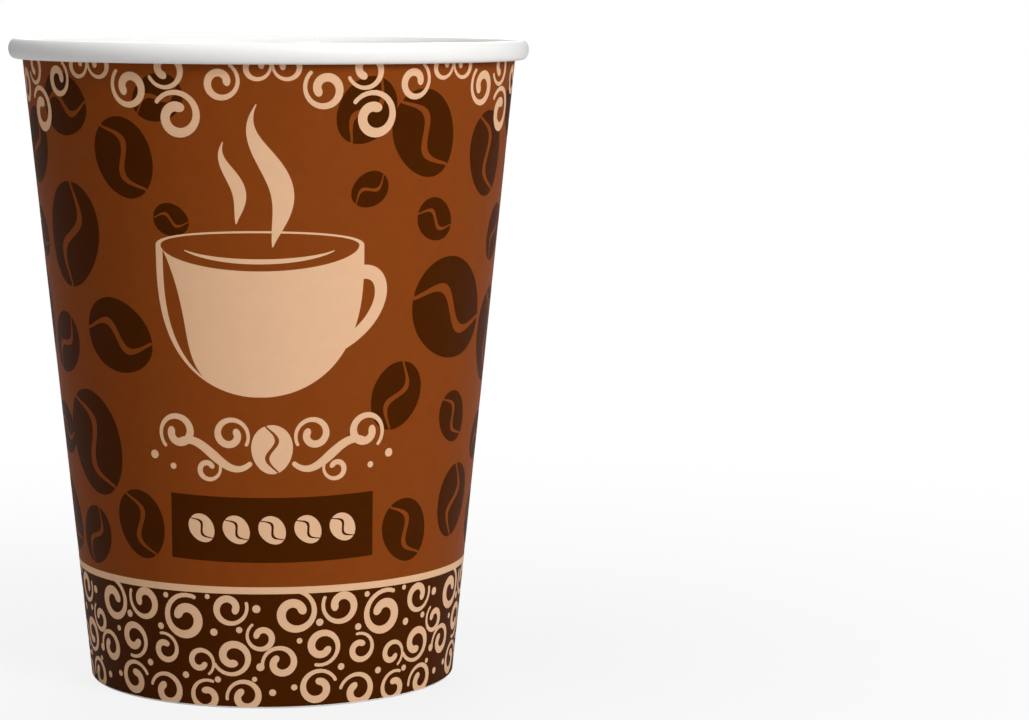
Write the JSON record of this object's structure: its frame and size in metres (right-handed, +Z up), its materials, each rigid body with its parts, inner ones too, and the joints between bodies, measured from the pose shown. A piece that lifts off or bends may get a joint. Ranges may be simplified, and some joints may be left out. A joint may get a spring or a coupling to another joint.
{
  "type": "paper cup",
  "caption": "Single-wall conical paper cup for a hot drink, with a rolled rim, a lapped side seam, a folded foot and a raised bottom disc.",
  "frame": {"origin": "centre of the foot, on the table", "axes": "+Z up along the cup's axis, -Y towards the front of the print, +Y towards the side seam"},
  "size_m": [0.0904, 0.0904, 0.112],
  "materials": {
    "printed_board": "satin print outside, satin coated white inside",
    "white_board": "satin coated"
  },
  "bodies": {
    "root": {"side_wall": "printed_board", "bottom_disc": "white_board"}
  },
  "joints": []
}
